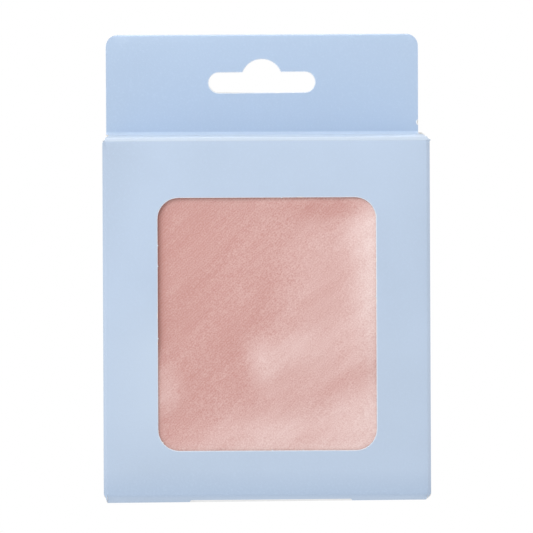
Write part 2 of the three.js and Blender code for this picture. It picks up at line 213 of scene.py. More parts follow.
# Board: sections, flat blanks and folding
class FoldedLine:
    """A line in section: flats joined by round folds, walked by distance."""

    def __init__(self, x, y, heading):
        self.end = (x, y, radians(heading))
        self.length = 0
        self.parts = []

    def flat(self, length):
        return self.extend(length, 0)

    def fold(self, degrees, radius):
        turn = radians(degrees)
        return self.extend(abs(turn) * radius, turn)

    def crease(self, degrees, reach, radius):
        """A pressed fold within this reach of its corner: two tight bends and a flat band."""
        turn = radians(degrees)
        tangent = radius * tan(abs(turn) / 4)
        band = 2 * (reach - tangent) * cos(turn / 2) - 2 * tangent
        return self.fold(degrees / 2, radius).flat(band).fold(degrees / 2, radius)

    def extend(self, length, turn):
        self.parts.append((self.length, length, turn, self.end))
        self.end = self.walk(self.parts[-1], length)
        self.length += length
        return self

    @staticmethod
    def walk(part, distance):
        _, length, turn, (x, y, heading) = part
        if turn == 0:
            return x + distance * cos(heading), y + distance * sin(heading), heading
        radius = length / turn
        bend = turn * distance / length
        x += radius * (sin(heading + bend) - sin(heading))
        y -= radius * (cos(heading + bend) - cos(heading))
        return x, y, heading + bend

    def at(self, distance):
        """Place and heading at a distance along the line."""
        part = next((p for p in reversed(self.parts) if p[0] <= distance), self.parts[0])
        return self.walk(part, distance - part[0])

    def stations(self, flat_step):
        """Distances that follow the folds closely and the flats loosely."""
        found = [0]
        for start, length, turn, _ in self.parts:
            count = max(3, round(abs(turn) / FOLD_STEP)) if turn else max(1, round(length / flat_step))
            found += [start + length * (k + 1) / count for k in range(count)]
        return found


CLIMB = 90 - LID_RISE
LID_SINE, RAMP_SINE = sin(radians(LID_RISE)), sin(radians(RAMP_RISE))
TOP_BAND = (TOP_RADIUS - PRESSED_RADIUS) * sin(radians(CLIMB)) / cos(radians(TOP_SLOPE))
TOP_DEPTH = PRESSED_RADIUS * (1 - LID_SINE) + TOP_BAND * sin(radians(TOP_SLOPE))
LID_DEPTH = (
    HALF_DEPTH + HEADER_Y - TOP_DEPTH
    - VALLEY_RADIUS * (RAMP_SINE - LID_SINE)
    - RAMP_RUN * cos(radians(RAMP_RISE))
    - VALLEY_CREASE * (1 - RAMP_SINE)
)
LID_RUN = LID_DEPTH / cos(radians(LID_RISE))
LEFT_DEPTH = GLUE_Y + HALF_DEPTH - 2 * UPRIGHT_RADIUS
RIGHT_DEPTH = 2 * (HALF_DEPTH - UPRIGHT_RADIUS)
BACK_WIDTH = FRONT_FLAT + HALF_WIDTH - BACK_EDGE_INSET
PANELS = (LEFT_DEPTH, 2 * FRONT_FLAT, RIGHT_DEPTH, BACK_WIDTH)
around = FoldedLine(GLUE_WIDTH - FRONT_FLAT, GLUE_Y, 180).flat(GLUE_WIDTH)
for width in PANELS:
    around.crease(90, UPRIGHT_RADIUS, PRESSED_RADIUS).flat(width)
UPRIGHT_ARC = (around.length - GLUE_WIDTH - sum(PANELS)) / len(PANELS)
over = (
    FoldedLine(-HALF_DEPTH, FRONT_BOTTOM, 90)
    .flat(FRONT_TOP - FRONT_BOTTOM)
    .fold(-TOP_SLOPE, PRESSED_RADIUS)
    .flat(TOP_BAND)
    .fold(TOP_SLOPE - CLIMB, PRESSED_RADIUS)
    .flat(LID_RUN)
    .fold(RAMP_RISE - LID_RISE, VALLEY_RADIUS)
    .flat(RAMP_RUN)
    .fold(90 - RAMP_RISE, VALLEY_CREASE)
    .flat(HEADER_FLAT)
    .fold(-180, CREST_RADIUS)
    .flat(HEADER_FLAT + LAP)
)
BASE_BAND = (BASE_RADIUS - BASE_BEND) / cos(radians(BASE_SLOPE))
BASE_DEPTH = BASE_BEND + BASE_BAND * sin(radians(BASE_SLOPE))
under = (
    FoldedLine(-HALF_DEPTH, FRONT_BOTTOM, -90)
    .fold(BASE_SLOPE, BASE_BEND)
    .flat(BASE_BAND)
    .fold(90 - BASE_SLOPE, BASE_BEND)
    .flat(BOTTOM_RUN + BASE_RADIUS - BASE_DEPTH)
    .fold(90 + TUCK_LEAN, TUCK_RADIUS)
    .flat(TUCK_LENGTH)
)
flap_over = FoldedLine(HALF_WIDTH, SIDE_TOP, 90).fold(90, FLAP_RADIUS).flat(FLAP_REACH)
flap_under = FoldedLine(HALF_WIDTH, SIDE_BOTTOM, -90).fold(-90, FLAP_RADIUS).flat(FLAP_REACH)

# Places on the flat blank: u runs round the sleeve from the front's middle, v up the front and over the top
FRONT_MIDDLE = GLUE_WIDTH + LEFT_DEPTH + 2 * UPRIGHT_ARC + FRONT_FLAT
LEFT_EDGE = -FRONT_MIDDLE
RIGHT_EDGE = around.length - FRONT_MIDDLE
SIDE_START = FRONT_FLAT + UPRIGHT_ARC
LEFT_REAR = -SIDE_START - LEFT_DEPTH
SIDE_END = SIDE_START + RIGHT_DEPTH
BACK_START = SIDE_END + UPRIGHT_ARC
LID_END, HEADER_FOOT, HEADER_END, CREST_END = [FRONT_BOTTOM + over.parts[k][0] for k in (5, 8, 9, 10)]
CREST = (HEADER_END + CREST_END) / 2
REAR_END = FRONT_BOTTOM + over.length
REAR_SHOULDER = CREST_END + HEADER_FLAT
LID_LENGTH, TUCK_START = [under.parts[k][0] for k in (4, 5)]
LID_EDGE = FRONT_BOTTOM - LID_LENGTH
TUCK_END = FRONT_BOTTOM - under.length
FLAP_ARC = flap_over.parts[1][0]


def flap_u(y):
    """Place across a side panel, as distance from the front's middle."""
    return SIDE_START + y + HALF_DEPTH - UPRIGHT_RADIUS


def rounded(corners, steps=7):
    """A closed loop through (u, v, radius) corners, with an arc where there is a radius."""
    loop = []
    for index, (u, v, radius) in enumerate(corners):
        corner = np.array((u, v))
        if radius == 0:
            loop.append((u, v))
            continue
        before = unit(np.array(corners[index - 1][:2]) - corner)
        after = unit(np.array(corners[(index + 1) % len(corners)][:2]) - corner)
        half = acos(np.clip(before @ after, -1, 1)) / 2
        centre = corner + unit(before + after) * radius / sin(half)
        start = corner + before * radius / tan(half) - centre
        end = corner + after * radius / tan(half) - centre
        turn = atan2(start[0] * end[1] - start[1] * end[0], start @ end)
        for step in range(steps + 1):
            c, s = cos(turn * step / steps), sin(turn * step / steps)
            loop.append((centre[0] + c * start[0] - s * start[1], centre[1] + s * start[0] + c * start[1]))
    return loop


def divided(loop, columns, rows, least=0.08):
    """The loop with a point wherever an edge crosses a column or a row of the grid."""
    found = []
    for (u0, v0), (u1, v1) in zip(loop, loop[1:] + loop[:1]):
        length = hypot(u1 - u0, v1 - v0)
        shares = [0]
        crossings = [(c - u0) / (u1 - u0) for c in columns if (c - u0) * (c - u1) < 0]
        crossings += [(r - v0) / (v1 - v0) for r in rows if (r - v0) * (r - v1) < 0]
        for share in sorted(crossings):
            if (share - shares[-1]) * length > least and (1 - share) * length > least:
                shares.append(share)
        found += [(u0 + (u1 - u0) * t, v0 + (v1 - v0) * t) for t in shares]
    return found


def inside(points, loop):
    """Which points lie inside a closed loop."""
    x, y = points[:, :1], points[:, 1:]
    a = np.array(loop)
    b = np.roll(a, -1, axis=0)
    crossed = (a[:, 1] > y) != (b[:, 1] > y)
    rise = np.where(a[:, 1] == b[:, 1], 1, b[:, 1] - a[:, 1])
    at = a[:, 0] + (y - a[:, 1]) * (b[:, 0] - a[:, 0]) / rise
    return (crossed & (x < at)).sum(1) % 2 == 1


def clear_of(points, loop, distance):
    """Which points keep a distance from every edge of a loop."""
    a = np.array(loop)
    d = np.roll(a, -1, axis=0) - a
    span = points[:, None] - a
    share = np.clip((span * d).sum(2) / (d * d).sum(1), 0, 1)
    away = np.linalg.norm(span - share[:, :, None] * d, axis=2)
    return away.min(1) > distance


class Blank:
    """A flat die-cut sheet as triangles, with points on a grid and each hole's crushed lip."""

    def __init__(self, outline, grid, holes=(), lips=(), marks=()):
        loops = [outline, *holes, *lips, *marks]
        points, edges = [], []
        for loop in loops:
            edges += [(len(points) + k, len(points) + (k + 1) % len(loop)) for k in range(len(loop))]
            points += loop
        grid = np.array(grid)
        keep = inside(grid, outline)
        for loop in loops:
            keep &= clear_of(grid, loop, CLEARANCE)
        for loop in lips or holes:
            keep &= ~inside(grid, loop)
        points += [tuple(p) for p in grid[keep]]
        corners, _, faces, sources, _, _ = delaunay_2d_cdt([Vector(p) for p in points], edges, [], 0, WELD)
        self.points = np.array([tuple(p) for p in corners])
        middles = np.array([self.points[list(f)].mean(0) for f in faces])
        shown = inside(middles, outline)
        for loop in holes:
            shown &= ~inside(middles, loop)
        self.faces = [tuple(f) for f, show in zip(faces, shown) if show]
        first_hole = len(outline)
        past_hole = first_hole + sum(len(h) for h in holes)
        self.on_cut = [any(first_hole <= s < past_hole for s in source) for source in sources]
        middles = middles[shown]
        self.marked = np.zeros(len(self.faces), bool)
        for loop in marks:
            self.marked |= inside(middles, loop)


def at(x, y, z):
    return (x * METRES, y * METRES, z * METRES)


def in_scene(name, data):
    obj = bpy.data.objects.new(name, data)
    scene.collection.objects.link(obj)
    return obj


def mesh_object(name, points, faces, materials, slots=None, sharp=()):
    """A smooth-shaded object from points in millimetres. slots gives each face its material."""
    mesh = bpy.data.meshes.new(name)
    mesh.from_pydata([at(*p) for p in points], [], faces)
    for material in materials:
        mesh.materials.append(material)
    mesh.polygons.foreach_set("use_smooth", [True] * len(mesh.polygons))
    if slots is not None:
        mesh.polygons.foreach_set("material_index", slots)
    if sharp:
        crisp = mesh.attributes.new("sharp_edge", "BOOLEAN", "EDGE")
        crisp.data.foreach_set("value", [tuple(sorted(e.vertices)) in sharp for e in mesh.edges])
    mesh.update()
    return in_scene(name, mesh)


PRINTED, BARE, RAW, WHITE, CRUSHED = range(5)


def folded_board(name, blank, place):
    """Folds a blank: printed face, bare face behind it, and the cut edge between them."""
    outer, inner = [], []
    for (u, v), cut in zip(blank.points, blank.on_cut):
        point, normal = place(u, v)
        outer.append(np.array(point) - np.array(normal) * (LIP_SINK if cut else 0))
        inner.append(np.array(point) - np.array(normal) * BOARD)
    count = len(outer)
    faces, slots, used = [], [], {}
    for (a, b, c), marked in zip(blank.faces, blank.marked):
        cuts = [blank.on_cut[k] for k in (a, b, c)]
        lip = any(cuts)
        faces += [(a, b, c), (count + c, count + b, count + a)]
        slots += [RAW if all(cuts) else CRUSHED if lip else WHITE if marked else PRINTED, BARE]
        for edge in ((a, b), (b, c), (c, a)):
            used[edge] = lip
    sharp = {tuple(sorted(edge)) for edge, lip in used.items() if lip and not used.get(edge[::-1], lip)}
    for a, b in used:
        if (b, a) not in used:
            faces.append((a, count + a, count + b, b))
            slots.append(RAW)
            sharp |= {tuple(sorted((a, b))), tuple(sorted((count + a, count + b)))}
    return mesh_object(name, outer + inner, faces, board_materials, slots, sharp)


# Carton
def front_bow(x, z):
    """How far the front panel stands out between its folds."""
    across = cos(x / FRONT_FLAT * pi / 2)
    up = sin(pi * min(1, max(0, (z - FRONT_BOTTOM) / (FRONT_TOP - FRONT_BOTTOM))))
    return across * up * (FRONT_BOW + WAVINESS * uneven(x * WAVE_RATE, 1.7, z * WAVE_RATE))


def panel_bow(share, z, seed):
    """The same for a plain panel, at a share of its width."""
    up = sin(pi * min(1, max(0, (z - SIDE_BOTTOM) / (SIDE_TOP - SIDE_BOTTOM))))
    return sin(pi * share) * up * (PANEL_BOW + WAVINESS * uneven(share * 2, seed, z * WAVE_RATE))


def header_lean(x, z):
    """Both plies of the header curl a little towards the front."""
    curl = CURL + CURL_TWIST * x / HALF_WIDTH
    return smooth(*CURL_SPAN, z) * (CURL_WAVINESS * uneven(x * 0.04, 4.2, z * 0.05) - curl)


def place_carton(u, v):
    """Where a point of the fixed blank lies, and which way its printed face looks."""
    if abs(u) < SIDE_START and v > FRONT_TOP:
        y, z, heading = over.at(v - FRONT_BOTTOM)
        if v > LID_END:
            y += header_lean(u, z)
        return (u, y, z), (0, -sin(heading), cos(heading))
    x, y, heading = around.at(u + FRONT_MIDDLE)
    if SIDE_START <= abs(u) <= SIDE_END and v > SIDE_TOP:
        side = copysign(1, u)
        reach, z, turn = flap_over.at(v - SIDE_TOP)
        return (side * reach, y, z), (side * sin(turn), 0, -cos(turn))
    normal = (sin(heading), -cos(heading), 0)
    out = 0
    if abs(u) < FRONT_FLAT:
        out = front_bow(u, v)
    elif u > BACK_START:
        out = panel_bow((u - BACK_START) / (RIGHT_EDGE - BACK_START), v, 8.1)
    elif SIDE_START < abs(u) < SIDE_END:
        out = -panel_bow((abs(u) - SIDE_START) / (flap_u(HALF_DEPTH) - SIDE_START), v, 3.3)
    return (x + normal[0] * out, y + normal[1] * out, v), normal


def header_corner(steps=7):
    """A rounded header corner from the crest: distances in from the side and down the blank."""
    found = []
    for step in range(steps + 1):
        angle = pi / 2 * step / steps
        drop = HEADER_CORNER * (1 - sin(angle))
        bent = min(drop, CREST_RADIUS)
        down = drop - bent + CREST_RADIUS * acos(1 - bent / CREST_RADIUS)
        found.append((HEADER_CORNER * (1 - cos(angle)), down))
    return found


def header_side(edge):
    """One side of both plies of the header, up the front one and down the rear one."""
    up = [(edge - across, CREST - down) for across, down in header_corner()]
    return up + [(u, 2 * CREST - v) for u, v in reversed(up[:-1])]


def flap_side(seam, way):
    """A right dust flap's edge beyond its seam, from front to rear. way is 1 up and -1 down."""
    fold, tip = seam + way * FLAP_ARC, seam + way * (FLAP_ARC + FLAP_REACH)
    corners = [
        (flap_u(FLAP_FRONT), seam, 0),
        (flap_u(FLAP_FRONT), fold, 0),
        (flap_u(FLAP_FRONT + FLAP_FRONT_SLANT), tip, FLAP_CORNER),
        (flap_u(FLAP_REAR - FLAP_REAR_SLANT), tip, FLAP_CORNER),
        (flap_u(FLAP_REAR), fold, 0),
        (flap_u(FLAP_REAR), seam, 0),
    ]
    return rounded(corners)


def mirrored(loop):
    return [(-u, v) for u, v in reversed(loop)]


def slot_loop(grow):
    """The hanging slot about the foot of the header's flat, at its middle."""
    end = SLOT_HEIGHT / 2 + grow
    head = BUMP_RADIUS + grow
    top = SLOT_RISE + SLOT_HEIGHT
    start = asin((BUMP_DROP + grow) / head)
    loop = []
    for centre, low in ((SLOT_REACH, -90), (-SLOT_REACH, 90)):
        for angle in range(low, low + 181, ROUND_STEP):
            turn = radians(angle)
            loop.append((centre + end * cos(turn), SLOT_RISE + SLOT_HEIGHT / 2 + end * sin(turn)))
        if centre > 0:
            for step in range(BUMP_STEPS + 1):
                turn = start + (pi - 2 * start) * step / BUMP_STEPS
                loop.append((head * cos(turn), top - BUMP_DROP + head * sin(turn)))
    return loop


def turned(loop, degrees):
    c, s = cos(radians(degrees)), sin(radians(degrees))
    return [(c * u - s * v, s * u + c * v) for u, v in loop]


def front_slot(grow):
    return [(SLOT_MIDDLE + u, HEADER_FOOT + v) for u, v in turned(slot_loop(grow), SLOT_TURN)]


def rear_slot(grow):
    middle, foot = SLOT_MIDDLE + REAR_SLOT_SHIFT[0], REAR_SHOULDER - REAR_SLOT_SHIFT[1]
    loop = turned(slot_loop(REAR_SLOT_GROW + grow), REAR_SLOT_TURN)
    return [(middle + u, foot - v) for u, v in reversed(loop)]


def window_loop(grow):
    left, right = WINDOW_MIDDLE - WINDOW_HALF - grow, WINDOW_MIDDLE + WINDOW_HALF + grow
    low, high = WINDOW_SILL - grow, WINDOW_TOP + grow
    corners = [(left, low), (right, low), (right, high), (left, high)]
    return rounded([(u, v, WINDOW_RADIUS + grow) for u, v in corners], 10)


def with_nicks(loop):
    """The window's edge with the torn ties that held the waste piece."""
    middle = np.array((WINDOW_MIDDLE, (WINDOW_SILL + WINDOW_TOP) / 2))
    for nick in NICKS:
        nearest = min(range(len(loop)), key=lambda k: dist(loop[k], nick))
        point, ahead = np.array(loop[nearest]), np.array(loop[(nearest + 1) % len(loop)])
        along, inwards = unit(ahead - point) * NICK_SIZE, unit(middle - point) * NICK_SIZE
        torn = [tuple(point + a * along + b * inwards) for a, b in NICK_SHAPE]
        loop = loop[:nearest] + torn + loop[nearest + 1:]
    return loop


def header_nick(depth):
    return [(HEADER_RIGHT - depth * u, HEADER_FOOT + v) for u, v in HEADER_NICK]


NOTCH = UPRIGHT_ARC / 2  # middle of an upright fold, from the edge of the front's flat


def bottom_side(web):
    """The sleeve's lower edge on the right, from the lid to the dust flap's rear."""
    return [
        (LID_HALF + SEAM, FRONT_BOTTOM),
        (LID_HALF + SEAM, web[2]),
        (FRONT_FLAT + NOTCH, web[1]),
        (SIDE_START, web[0]),
        (flap_u(FLAP_FRONT), SIDE_BOTTOM),
        (flap_u(FLAP_REAR), SIDE_BOTTOM),
    ]


def top_side(corner, header, torn):
    """The right edge from the top dust flap over the lid and the header to the lap's end."""
    return [
        *reversed(flap_side(SIDE_TOP, 1)),
        (SIDE_START, SIDE_TOP),
        *corner,
        (LID_HALF, LID_END),
        (header, LID_END + HEADER_EASE),
        *torn,
        *header_side(header),
        (header, REAR_SHOULDER),
        (LAP_HALF, REAR_SHOULDER + LAP_EASE),
        (LAP_HALF, REAR_END),
    ]


carton_outline = [
    (LEFT_EDGE, GLUE_BOTTOM + GLUE_TAPER),
    (LEFT_EDGE + GLUE_WIDTH, GLUE_BOTTOM),
    (LEFT_REAR - NOTCH, GLUE_BOTTOM - GLUE_EASE),
    (LEFT_REAR - NOTCH, SIDE_BOTTOM),
    *mirrored(bottom_side(LEFT_WEB)),
    *bottom_side(RIGHT_WEB),
    (BACK_START, SIDE_BOTTOM),
    (BACK_START, 0),
    (RIGHT_EDGE, 0),
    (RIGHT_EDGE, BACK_HEIGHT),
    (BACK_START, BACK_HEIGHT),
    (BACK_START - NOTCH, BACK_HEIGHT - BACK_CORNER_DROP),
    (BACK_START - NOTCH, SIDE_TOP),
    *top_side(RIGHT_TOP, HEADER_RIGHT, header_nick(NICK_DEPTH)),
    *mirrored(top_side(LEFT_TOP, HEADER_LEFT, [])),
    (LEFT_REAR - NOTCH, SIDE_TOP),
    (LEFT_REAR - NOTCH, GLUE_TOP + GLUE_EASE),
    (LEFT_EDGE + GLUE_WIDTH, GLUE_TOP),
    (LEFT_EDGE, GLUE_TOP - GLUE_TAPER),
]

columns = [s - FRONT_MIDDLE for s in around.stations(FLAT_STEP)]
over_rows = [FRONT_BOTTOM + s for s in over.stations(FLAT_STEP)]
flap_rows = [SIDE_TOP + s for s in flap_over.stations(FLAT_STEP)]
low_rows = [r for r in over_rows if r <= FRONT_TOP]


def carton_grid():
    found = []
    for u in columns:
        side_rows = low_rows + flap_rows if u < BACK_START else low_rows
        found += [(u, v) for v in (over_rows if abs(u) < SIDE_START else side_rows)]
    return found


def carton_divided(loop):
    """Divides the outline by the rows that its own panel has."""
    found = []
    for a, b in zip(loop, loop[1:] + loop[:1]):
        middle = abs(a[0] + b[0]) / 2
        rows = over_rows if middle < SIDE_START - CLEARANCE else low_rows + flap_rows
        edge = divided([a, b], columns, rows)
        found += edge[:edge.index(b)]
    return found


carton_blank = Blank(
    carton_divided(carton_outline),
    carton_grid(),
    holes=[with_nicks(divided(window_loop(0), columns, low_rows)), front_slot(0), rear_slot(0)],
    lips=[divided(window_loop(LIP), columns, low_rows), front_slot(LIP), rear_slot(LIP)],
    marks=[header_nick(1)],
)


def place_under(x, v):
    """The bottom lid and its tuck flap. The lid hangs a little lower at its left front."""
    down = FRONT_BOTTOM - v
    y, z, heading = under.at(down)
    lift = smooth(*SAG_START, down) * smooth(*SAG_END, down) * (SAG_TWIST * x / LID_HALF - SAG)
    return (x, y, z + lift), (0, sin(heading), -cos(heading))


def place_flap(u, v):
    """A bottom dust flap, right where u is positive, else left."""
    side = copysign(1, u)
    reach, z, turn = flap_under.at(SIDE_BOTTOM - v)
    y = abs(u) - SIDE_START - HALF_DEPTH + UPRIGHT_RADIUS
    return (side * reach, y, z), (-side * sin(turn), 0, cos(turn))


def plain_blank(outline, columns, rows, marks=()):
    grid = [(u, v) for u in columns for v in rows]
    marks = [divided(m, columns, rows) for m in marks]
    return Blank(divided(outline, columns, rows), grid, marks=marks)


lid_columns = list(np.linspace(-LID_HALF, LID_HALF, LID_COLUMNS))
under_rows = [FRONT_BOTTOM - s for s in under.stations(FLAT_STEP)]
under_flap_rows = [SIDE_BOTTOM - s for s in flap_under.stations(FLAT_STEP)]
lid_outline = [
    (-LID_HALF, LID_EDGE),
    (LID_HALF, LID_EDGE),
    *[(LID_HALF - within, FRONT_BOTTOM - down) for within, down in RUBBED],
    (LID_HALF, FRONT_BOTTOM),
    (-LID_HALF, FRONT_BOTTOM),
]
patch_corners = [(x, PATCH_END) for x in PATCH] + [(x, PATCH_START) for x in reversed(PATCH)]
patch_outline = rounded([(x, FRONT_BOTTOM - down, PATCH_CORNER) for x, down in patch_corners], 3)
tuck_outline = rounded([
    (-LID_HALF, TUCK_END, TUCK_CORNER),
    (LID_HALF, TUCK_END, TUCK_CORNER),
    (LID_HALF, LID_EDGE, 0),
    (-LID_HALF, LID_EDGE, 0),
])
flap_outline = flap_side(SIDE_BOTTOM, -1)
flap_columns = [c for c in columns if SIDE_START <= c <= BACK_START]

lid_blank = plain_blank(lid_outline, lid_columns, under_rows, [patch_outline])
tuck_blank = plain_blank(tuck_outline, lid_columns, under_rows)
right_flap_blank = plain_blank(flap_outline, flap_columns, under_flap_rows)
left_flap_blank = plain_blank(mirrored(flap_outline), [-c for c in flap_columns], under_flap_rows)


# Folded cap
cap_line = (
    FoldedLine(CROWN_LEAF_Y, CROWN_END, -90)
    .flat(CROWN_END - INNER_BEND[0])
    .fold(-180, INNER_BEND[1])
    .flat(OUTER_BEND[0] - INNER_BEND[0])
    .fold(-180, OUTER_BEND[1])
    .flat(OUTER_BEND[0] - CLOTH_END)
)
LEAF_START, LEAF_END = [cap_line.parts[k][0] for k in (2, 3)]  # of the front leaf

# Satin behind the window. A pair is the range, across or up it, over which something comes in.
# A swell's light is painted highlight where positive and painted shade where negative, mixed into the satin's
# colour; it also sets how high the swell stands.
Pillow = namedtuple("Pillow", "x z long short lean light")  # a swell: middle, radii, lean in degrees, light
PILLOWS = [Pillow(*row) for row in (
    (29, 79, 9, 6, 70, 0.38), (30.2, 63, 16, 4.8, 88, 0.54),
    (9.5, 65, 11, 6, 60, 0.14), (-1.6, 41, 7.5, 4.2, 109, 0.36),
    (7, 44.5, 9, 4.5, 25, 0.34), (21, 48, 13, 8, 40, 0.13),
    (1, 19, 11, 4.8, 12, 0.46), (2, 31.5, 7, 4.5, 60, 0.09),
    (26.5, 23, 12, 9, 40, 0.35), (-15.5, 19.5, 10, 4.5, 15, 0.26),
    (-29, 32.5, 6.5, 3.6, 80, 0.42), (18.5, 86, 10, 3.6, 2, -0.36),
    (-7.8, 38.5, 9, 3.4, 105, -0.1), (27, 36.5, 12, 3.4, 25, -0.2),
    (-1.5, 58, 14, 3, 68, -0.16), (-14, 55, 22, 3.5, 42, 0.06),
    (-24, 66, 18, 3, 42, 0.08), (-20, 38, 14, 3, 38, -0.06),
)]
PILLOW_HEIGHT = 0.19  # for each millimetre of its short radius
PILLOW_SHIFT = 0.6  # and a swell lies this share of it below and right of its lit slope
SWELL_LIMIT = 0.7  # keeps the satin behind the board
SATIN_LIFT = 0.1
RIPPLE = 0.14
RIPPLE_ALONG, RIPPLE_ACROSS = 0.02, 0.11
MEET_LIFT = 0.55  # where the satin meets the board
MEET_RIGHT, MEET_SILL = (18, 32), (26, 14)
MEET_TOP, MEET_TOP_ACROSS, MEET_TOP_LEAST = (82, 88.5), (-12, 4), 0.35
MEET_LEFT, MEET_LEFT_UP = (-27, -32.5), (49, 40)
GAP_DEPTH = 0.2  # where it falls back from the window's left edge
GAP_ACROSS, GAP_UP = (-28.5, -32.4), (40, 50)
# Painted shade along the window's left edge, and painted highlight that comes in across and up the satin, to
# the right and along the window's sill and top, mixed into its colour.
GAP_PAINTED_SHADE = 0.5
PLAIN_PAINTED_LIGHT = -0.05
PAINTED_LIGHT_ACROSS = [(0.36, -30, 34), (0.15, 28.5, 31)]
PAINTED_LIGHT_UP = [(0.1, 60, 20), (0.3, 18.5, 14.2), (0.2, 87, 88.9)]
ON_FRONT, OFF_FRONT = (-3, 5), (-6, 4)  # past the start and short of the end of the front leaf


def pillow(x, z, shape):
    """A soft round swell, 1 at its middle."""
    c, s = cos(radians(shape.lean)), sin(radians(shape.lean))
    along = (c * (x - shape.x) + s * (z - shape.z)) / shape.long
    across = (c * (z - shape.z) - s * (x - shape.x)) / shape.short
    return exp(-(along * along + across * across))


def left_gap(x, z):
    return smooth(*GAP_ACROSS, x) * smooth(*GAP_UP, z)


def painted_satin_light(x, z):
    """Painted highlight and painted shade on the satin at a place behind the window: how much paler or deeper
    its colour is made.
    """
    light = PLAIN_PAINTED_LIGHT - GAP_PAINTED_SHADE * left_gap(x, z)
    light += sum(most * smooth(start, end, x) for most, start, end in PAINTED_LIGHT_ACROSS)
    light += sum(most * smooth(start, end, z) for most, start, end in PAINTED_LIGHT_UP)
    return light + sum(shape.light * pillow(x, z, shape) for shape in PILLOWS)


def satin_swell(x, z):
    """How far the satin stands out at a place behind the window."""
    swell = SATIN_LIFT - GAP_DEPTH * left_gap(x, z)
    for shape in PILLOWS:
        shift = PILLOW_SHIFT * shape.short
        swell += PILLOW_HEIGHT * shape.short * shape.light * pillow(x - shift, z + shift, shape)
    top = smooth(*MEET_TOP, z) * (MEET_TOP_LEAST + (1 - MEET_TOP_LEAST) * smooth(*MEET_TOP_ACROSS, x))
    left = smooth(*MEET_LEFT, x) * smooth(*MEET_LEFT_UP, z)
    swell += MEET_LIFT * max(smooth(*MEET_RIGHT, x), smooth(*MEET_SILL, z), top, left)
    swell += RIPPLE * uneven((x + z) * RIPPLE_ALONG, 5.5, (z - x) * RIPPLE_ACROSS)
    return min(SWELL_LIMIT, swell)


def bag_ring(step):
    """A leaf in section, in shares of its half width and thickness: two flats and two round sides."""
    side, steps = 0.1, 9
    flat = [(r * (1 - side), 1) for r in np.linspace(-1, 1, round(2 * CAP_HALF / step))]
    turns = [pi * k / steps for k in range(1, steps)]
    end = [(1 - side + side * sin(t), cos(t)) for t in turns]
    half = flat + end
    return half + [(-x, -d) for x, d in half], len(flat), len(end)


def tube_faces(rows, count, ends):
    """Quads of a tube of rows of points, whose ends are open, capped or joined."""
    faces = []
    for row in range(rows if ends == "joined" else rows - 1):
        ahead = (row + 1) % rows
        for k in range(count):
            side = (k + 1) % count
            faces.append((row * count + k, row * count + side, ahead * count + side, ahead * count + k))
    if ends == "capped":
        faces += [tuple(reversed(range(count))), tuple(range((rows - 1) * count, rows * count))]
    return faces


def bag(name, inset, step, thickness, material):
    """The folded cap as one bag swept along its line, closed at the crown and open at the hem."""
    ring, flats, ends = bag_ring(step)
    stations = cap_line.stations(step)
    points, light = [], []
    for distance in stations:
        y, z, heading = cap_line.at(distance)
        left = cap_line.length - distance
        gathered = smooth(GATHER_LENGTH, 0, left)
        round_end = sqrt(max(0.02, 1 - (1 - min(1, distance / CROWN_ROUND)) ** 2))
        half = CAP_HALF - inset - (CAP_HALF - HEM_HALF) * smooth(NARROW_LENGTH, 0, left)
        half -= CROWN_DRAW * (1 - round_end)
        on_front = smooth(*ON_FRONT, distance - LEAF_START) * smooth(*OFF_FRONT, LEAF_END - distance)
        for share, depth in ring:
            x = share * half
            off = depth * (LEAF / 2 - inset) * round_end
            facing = on_front * max(0, depth)
            off += round_end * DRAPE * uneven(x * 0.07, distance * 0.05, 9 + 5 * depth)
            crowd = 2.2 * uneven(x * 0.09, 2, 2)
            off += GATHER_DEPTH * depth * gathered * sin(pi * GATHERS * x / (2 * CAP_HALF) + crowd)
            if facing:
                off += facing * satin_swell(x, z)
            points.append((x, y - off * sin(heading), z + off * cos(heading)))
            light.append(facing * painted_satin_light(x, z) if facing else 0)
    count = len(ring)
    faces = tube_faces(len(stations), count, "open")
    back = flats + ends
    for k in range(flats - 1):
        faces.append((k + 1, k, back + flats - 1 - k, back + flats - 2 - k))
    faces.append(tuple(range(back, flats - 2, -1)))
    faces.append((0, *range(count - 1, count - ends - 2, -1)))
    obj = mesh_object(name, points, faces, [material])
    # The light attribute carries the satin's painted highlight and painted shade to its material.
    obj.data.attributes.new("light", "FLOAT", "POINT").data.foreach_set("value", light)
    wall = obj.modifiers.new("wall", "SOLIDIFY")
    wall.thickness = thickness * METRES
    wall.offset = -1
    return obj


HEM_END = (LEAF - HEM_WALL) / 2  # radius of the flattened ring's two ends
HEM_REACH = HEM_HALF - HEM_WALL / 2 - HEM_END
HEM_RUN = 2 * HEM_REACH
HEM_ARC = pi * HEM_END
HEM_PERIMETER = 2 * (HEM_RUN + HEM_ARC)
HEM_MIDDLE = HEM_BOTTOM + HEM_HEIGHT / 2


def hem_at(distance):
    """Place and outward direction in plan on the flattened ring of the opening."""
    distance %= HEM_PERIMETER
    flip = 1 if distance < HEM_PERIMETER / 2 else -1
    distance %= HEM_PERIMETER / 2
    turn = max(0, distance - HEM_RUN) / HEM_END
    x = min(distance - HEM_REACH, HEM_REACH) + HEM_END * sin(turn)
    return flip * x, flip * HEM_END * cos(turn), flip * sin(turn), flip * cos(turn)


def hem_point(distance, out, z, wave):
    """A point this far out from the flattened ring, moved in and out by the gathers."""
    x, d, across, away = hem_at(distance)
    crowd = 1.8 * uneven(3, distance * 0.08, 6)
    out += wave * sin(4 * pi * GATHERS * distance / HEM_PERIMETER + crowd)
    return x + across * out, HEM_LEAF_Y + d + away * out, z


